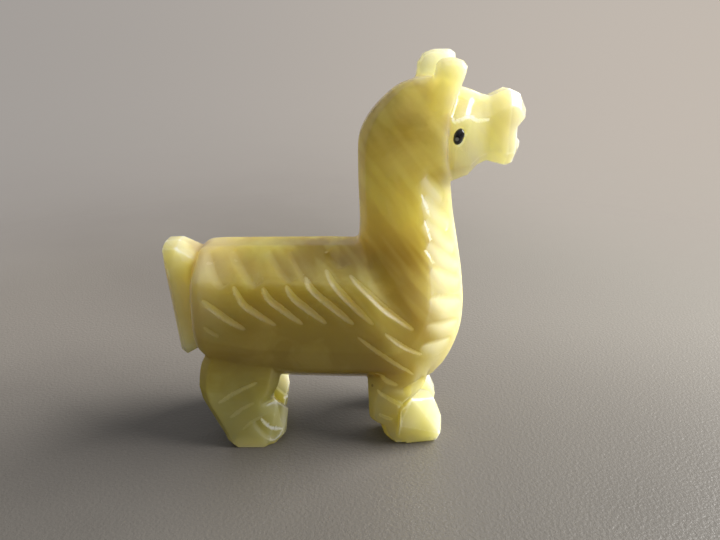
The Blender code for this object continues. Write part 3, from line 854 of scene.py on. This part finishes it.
# %% Stone
STONE_THICK_SHADE = (0.295, 0.203, 0.016, 1.0)
STONE_MIDDLE = (0.72, 0.615, 0.17, 1.0)
STONE_THIN_GLOW = (0.93, 0.91, 0.66, 1.0)
STONE_GROUND = (0.78, 0.72, 0.38, 1.0)
STONE_PALE = (0.90, 0.86, 0.36, 1.0)
HIGHLIGHT_CREAM = (0.93, 0.92, 0.80, 1.0)
FLUTE_PAINTED_LIGHT = (0.76, 0.74, 0.53, 1.0)
STONE_SHADED = (0.30, 0.215, 0.055, 1.0)
STONE_GREEN = (0.42, 0.45, 0.16, 1.0)
DARK_SPECK = (0.10, 0.07, 0.03, 1.0)
RUST_SPECK = (0.75, 0.30, 0.08, 1.0)
STREAK_SHARE = 0.18
FLUTE_LIGHT_SHARE = 0.55
SADDLE_SHADE_SHARE = 0.35
GROUND_SHARE = 0.40
RIM_SHARE = 0.75
WOOL_CENTRE = (10.0, 0.0, 46.0)
WOOL_RADIUS = 24.0
STONE_IOR = 1.55
SCATTER_REACH = (1.0, 0.90, 0.45)
SCATTER_SCALE = 0.028

stone_material = bpy.data.materials.new("honey_stone")
stone_material.use_nodes = True
tree = stone_material.node_tree
shader = tree.nodes["Principled BSDF"]
place = put(tree, "ShaderNodeTexCoord").outputs["Object"]
thin_mask = put(tree, "ShaderNodeAttribute", attribute_name="thinness").outputs["Fac"]
cut_and_glint_mask = put(tree, "ShaderNodeAttribute", attribute_name="cut_and_glint_marks").outputs["Fac"]
flute_light_saddle_shade_mask = put(tree, "ShaderNodeAttribute", attribute_name="painted_flute_light_saddle_shade").outputs["Fac"]
painted_highlight_mask = put(tree, "ShaderNodeAttribute", attribute_name="painted_highlight").outputs["Fac"]

clouds = use(tree, cloudy, Place=place, Patch_Size=0.009, Swirl=0.8, Low=0.30, High=0.70)
lift = maths(tree, "MULTIPLY", clouds, 0.16)
# Painted glow and shade: thin parts are painted pale and thick parts olive brown.
glow_and_shade_tone = maths(tree, "SUBTRACT", maths(tree, "ADD", thin_mask, lift), 0.08)
ramp = put(tree, "ShaderNodeValToRGB", {"Fac": glow_and_shade_tone})
ramp.color_ramp.interpolation = "B_SPLINE"
ramp.color_ramp.elements[0].color = STONE_THICK_SHADE
ramp.color_ramp.elements[1].color = STONE_THIN_GLOW
ramp.color_ramp.elements.new(0.35).color = STONE_MIDDLE

green = use(tree, cloudy, Place=place, Patch_Size=0.021, Swirl=0.3, Low=0.48, High=0.66)
colour = blend(tree, maths(tree, "MULTIPLY", green, 0.30), ramp.outputs["Color"], STONE_GREEN)
# Painted light and shade: some soft patches lighten and others darken the feet, legs, chest, neck, face,
# ears and tail, to match how the window lights them.
LIGHT_AND_SHADE_PATCHES = (
    ((-17.0, 0.0, 6.0), 15.0, 0.88, (0.27, 0.25, 0.055, 1.0)),
    ((11.0, 0.0, 4.0), 14.0, 0.85, (0.44, 0.40, 0.17, 1.0)),
    ((9.0, 0.0, 47.0), 12.0, 0.50, (0.81, 0.71, 0.20, 1.0)),
    ((22.0, 0.0, 31.0), 12.0, 0.70, (0.56, 0.53, 0.32, 1.0)),
    ((20.0, 0.0, 45.0), 8.5, 0.74, (0.56, 0.53, 0.32, 1.0)),
    ((20.0, 0.0, 18.0), 8.0, 0.60, (0.60, 0.56, 0.31, 1.0)),
    ((22.5, 0.0, 56.0), 8.0, 0.68, (0.88, 0.84, 0.68, 1.0)),
    ((22.6, 0.0, 63.2), 5.0, 0.75, (0.55, 0.51, 0.33, 1.0)),
    ((30.0, 0.0, 59.0), 8.0, 0.88, (0.46, 0.43, 0.34, 1.0)),
    ((18.4, -6.0, 5.6), 3.4, 0.50, (0.50, 0.47, 0.32, 1.0)),
    ((15.0, -9.0, 1.2), 4.0, 0.45, (0.46, 0.42, 0.17, 1.0)),
    ((6.5, -8.0, 7.0), 7.0, 0.65, (0.36, 0.30, 0.08, 1.0)),
    ((6.5, 8.0, 7.0), 7.0, 0.65, (0.36, 0.30, 0.08, 1.0)),
    ((15.5, 7.5, 8.5), 7.0, 0.85, (0.54, 0.52, 0.43, 1.0)),
    ((-9.6, -5.0, 4.6), 4.0, 0.75, (0.74, 0.70, 0.42, 1.0)),
    ((-11.5, 7.0, 7.5), 6.0, 0.80, (0.52, 0.49, 0.33, 1.0)),
    ((18.0, 0.0, 69.0), 7.0, 0.65, (0.64, 0.59, 0.40, 1.0)),
    ((18.5, -5.0, 66.0), 5.5, 0.68, (0.48, 0.41, 0.23, 1.0)),
    ((-29.5, 0.0, 30.0), 14.0, 0.55, (0.68, 0.55, 0.31, 1.0)),
    ((-25.4, 0.0, 36.4), 2.6, 0.50, (0.30, 0.19, 0.09, 1.0)),
)
for centre, radius, share, tone in LIGHT_AND_SHADE_PATCHES:
    mask = use(tree, speck, Place=place, Centre=Vector(centre) * MM, Radius=radius * MM)
    colour = blend(tree, maths(tree, "MULTIPLY", mask, share), colour, tone)
streaked = use(tree, streaks, Place=place, Streak_Width=0.0019, Low=0.40, High=0.64)
wool = use(tree, speck, Place=place, Centre=Vector(WOOL_CENTRE) * MM, Radius=WOOL_RADIUS * MM)
streaked = maths(tree, "MULTIPLY", streaked, wool)
colour = blend(tree, maths(tree, "MULTIPLY", streaked, STREAK_SHARE), colour, STONE_PALE)
# Painted light in the chest's flutes and painted shade in the saddle's hollows.
colour = blend(tree, maths(tree, "MULTIPLY", flute_light_saddle_shade_mask, FLUTE_LIGHT_SHARE), colour, FLUTE_PAINTED_LIGHT)
colour = blend(tree, maths(tree, "MULTIPLY", flute_light_saddle_shade_mask, -SADDLE_SHADE_SHARE), colour, STONE_SHADED)
colour = blend(tree, maths(tree, "MULTIPLY", cut_and_glint_mask, GROUND_SHARE), colour, STONE_GROUND)
# Painted highlight: rims, glints and the eye crescent are painted cream.
colour = blend(tree, maths(tree, "MULTIPLY", painted_highlight_mask, RIM_SHARE), colour, HIGHLIGHT_CREAM)
SPECKS = (
    ((9.4, -6.0, 38.5), 0.32, DARK_SPECK), ((-8.9, -10.6, 29.0), 0.22, DARK_SPECK),
    ((9.9, -7.5, 38.2), 0.16, DARK_SPECK), ((26.5, -4.9, 59.7), 0.16, DARK_SPECK),
    ((26.6, -4.9, 57.3), 0.18, DARK_SPECK), ((27.0, -4.9, 55.0), 0.20, DARK_SPECK),
    ((13.6, -6.8, 50.3), 0.18, DARK_SPECK), ((17.9, 5.2, 70.0), 0.35, RUST_SPECK),
)
for centre, radius, tone in SPECKS:
    mask = use(tree, speck, Place=place, Centre=Vector(centre) * MM, Radius=radius * MM)
    colour = blend(tree, maths(tree, "MULTIPLY", mask, 0.8), colour, tone)
scatter = use(tree, flecks, Place=place, Spacing=0.0060, Fleck_Size=0.045, Share=0.22)
colour = blend(tree, maths(tree, "MULTIPLY", scatter, 0.55), colour, DARK_SPECK)
tree.links.new(colour, shader.inputs["Base Color"])

worn = use(tree, cloudy, Place=place, Patch_Size=0.0045, Swirl=0.2, Low=0.35, High=0.75)
rough = put(tree, "ShaderNodeMapRange", {"Value": worn, "To Min": 0.13, "To Max": 0.27}).outputs["Result"]
rough = maths(tree, "ADD", rough, maths(tree, "MULTIPLY", cut_and_glint_mask, 0.42))
tree.links.new(rough, shader.inputs["Roughness"])

ripples = use(tree, grain, Place=place, Grain_Size=0.0030)
polish_bump = put(tree, "ShaderNodeBump", {"Height": ripples, "Distance": 0.00010, "Strength": 0.6})
wheel_marks = use(tree, grain, Place=place, Grain_Size=0.00045)
wheel_height = maths(tree, "MULTIPLY", wheel_marks, cut_and_glint_mask)
wheel_bump = put(tree, "ShaderNodeBump", {"Height": wheel_height, "Distance": 0.00012,
                                          "Normal": polish_bump.outputs["Normal"]})
tree.links.new(wheel_bump.outputs["Normal"], shader.inputs["Normal"])

shader.inputs["IOR"].default_value = STONE_IOR
shader.inputs["Subsurface Weight"].default_value = 1.0
shader.inputs["Subsurface Radius"].default_value = SCATTER_REACH
shader.inputs["Subsurface Scale"].default_value = SCATTER_SCALE
stone.data.materials.clear()
stone.data.materials.append(stone_material)
print("stone nodes:", len(tree.nodes))

# %% Black drops
drop_material = bpy.data.materials.new("black_drop")
drop_material.use_nodes = True
tree = drop_material.node_tree
shader = tree.nodes["Principled BSDF"]
place = put(tree, "ShaderNodeTexCoord").outputs["Object"]
swirl = use(tree, cloudy, Place=place, Patch_Size=0.0009, Swirl=1.2, Low=0.45, High=0.75)
colour = blend(tree, swirl, (0.006, 0.006, 0.008, 1.0), (0.045, 0.043, 0.045, 1.0))
# Painted reflection: a pale grey spot low on each drop, towards the tail, stands in for a reflection.
for side in (-1.0, 1.0):
    painted_reflection_spot = Vector((EYE_X - 0.42, cheeks[side][0][1] + side * 0.1, EYE_Z - 0.35)) * MM
    mask = use(tree, speck, Place=place, Centre=painted_reflection_spot, Radius=0.34 * MM)
    colour = blend(tree, maths(tree, "MULTIPLY", mask, 0.7), colour, (0.45, 0.47, 0.42, 1.0))
tree.links.new(colour, shader.inputs["Base Color"])
rough = put(tree, "ShaderNodeMapRange", {"Value": swirl, "To Min": 0.05, "To Max": 0.16}).outputs["Result"]
tree.links.new(rough, shader.inputs["Roughness"])
pitted = use(tree, grain, Place=place, Grain_Size=0.0004)
bump = put(tree, "ShaderNodeBump", {"Height": pitted, "Distance": 0.00002})
tree.links.new(bump.outputs["Normal"], shader.inputs["Normal"])
shader.inputs["Coat Weight"].default_value = 0.5
shader.inputs["Coat Roughness"].default_value = 0.03

# %% Riding on the frame
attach(stone, "root")
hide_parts("llama")
for name, bead in beads.items():
    bead.data.materials.append(drop_material)
    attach(bead, "root")
    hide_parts(name)

# %% [markdown]
# ## Table and light
#
# The figure stands on a plain warm grey table. A wide soft sun stands for the window, to the right and
# a little behind, so the chest, the face and the ears are lit through. The room is paler behind the
# table and above it than in front. The table fades out with distance, so no horizon shows. A box light
# would do too, but its light falls off across the table. The sun's light doesn't, so that falloff is painted
# into the table: painted light towards the window side, and a painted shadow on the near side.

# %% Table
TABLE_RADIUS = 2.0
TABLE_DIM = (0.130, 0.116, 0.102, 1.0)
TABLE_LIT = (0.250, 0.232, 0.205, 1.0)
TABLE_NEAR_SHADOW = (0.060, 0.056, 0.050, 1.0)
NEAR_SHADOW_SHARE = 0.75

table_disc = bmesh.new()
bmesh.ops.create_circle(table_disc, cap_ends=True, segments=96, radius=TABLE_RADIUS)
table_mesh = bpy.data.meshes.new("table")
table_disc.to_mesh(table_mesh)
table_disc.free()
table = bpy.data.objects.new("table", table_mesh)
bpy.context.scene.collection.objects.link(table)

table_material = bpy.data.materials.new("table")
table_material.use_nodes = True
tree = table_material.node_tree
shader = tree.nodes["Principled BSDF"]
place = put(tree, "ShaderNodeTexCoord").outputs["Object"]
tone = use(tree, cloudy, Place=place, Patch_Size=0.11, Swirl=0.2, Low=0.3, High=0.7)
spot = put(tree, "ShaderNodeSeparateXYZ", {0: place})
# Painted light: the table is painted lighter towards the window side.
to_window_side = smooth_mask(tree, spot.outputs["X"], -0.05, 0.12)
away = smooth_mask(tree, spot.outputs["Y"], -0.05, 0.05)
ground = blend(tree, to_window_side, TABLE_DIM, TABLE_LIT)
# Painted shadow: the table is painted darker on the near side, towards the camera.
near_shadow = maths(tree, "SUBTRACT", NEAR_SHADOW_SHARE, maths(tree, "MULTIPLY", away, NEAR_SHADOW_SHARE))
ground = blend(tree, near_shadow, ground, TABLE_NEAR_SHADOW)
ground = blend(tree, maths(tree, "MULTIPLY", tone, 0.2), ground, TABLE_LIT)
tree.links.new(ground, shader.inputs["Base Color"])
distance = put(tree, "ShaderNodeVectorMath", {0: place}, operation="LENGTH")
fade = smooth_mask(tree, one_over(tree, distance.outputs["Value"]), 0.6, 9.0)
tree.links.new(fade, shader.inputs["Alpha"])
pebble = use(tree, grain, Place=place, Grain_Size=0.00065)
bump = put(tree, "ShaderNodeBump", {"Height": pebble, "Distance": 0.00012, "Strength": 1.0})
tree.links.new(bump.outputs["Normal"], shader.inputs["Normal"])
shader.inputs["Roughness"].default_value = 0.40
table_mesh.materials.append(table_material)
print("table:", len(table_mesh.polygons), "face")

# %% Window
SUN_AZIMUTH = math.radians(8.0)
SUN_HEIGHT = math.radians(34.0)
SUN_WIDTH = math.radians(50.0)
SUN_STRENGTH = 8.3

window_light = bpy.data.lights.new("window", "SUN")
window_light.angle = SUN_WIDTH
window_light.energy = SUN_STRENGTH
window_light.color = (1.0, 0.985, 0.96)
window = bpy.data.objects.new("window", window_light)
level = math.cos(SUN_HEIGHT)
to_window = Vector((math.cos(SUN_AZIMUTH) * level, math.sin(SUN_AZIMUTH) * level, math.sin(SUN_HEIGHT)))
window.rotation_euler = to_window.to_track_quat("Z", "Y").to_euler()
bpy.context.scene.collection.objects.link(window)

# %% Room
ROOM_FRONT = (0.072, 0.062, 0.055, 1.0)
ROOM_BACK_LEFT = (0.360, 0.335, 0.315, 1.0)
ROOM_BACK_RIGHT = (0.560, 0.500, 0.440, 1.0)
ROOM_ABOVE = (0.44, 0.45, 0.46, 1.0)

room = bpy.data.worlds.new("room")
room.use_nodes = True
tree = room.node_tree
way = put(tree, "ShaderNodeSeparateXYZ", {0: put(tree, "ShaderNodeTexCoord").outputs["Generated"]})
behind = smooth_mask(tree, way.outputs["Y"], -0.7, 0.7)
above = smooth_mask(tree, way.outputs["Z"], 0.0, 0.9)
rightward = smooth_mask(tree, way.outputs["X"], -0.7, 0.7)
back = blend(tree, rightward, ROOM_BACK_LEFT, ROOM_BACK_RIGHT)
sides = blend(tree, behind, ROOM_FRONT, back)
colour = blend(tree, above, sides, ROOM_ABOVE)
tree.links.new(colour, tree.nodes["Background"].inputs["Color"])
bpy.context.scene.world = room
bpy.context.scene.view_settings.view_transform = "Standard"
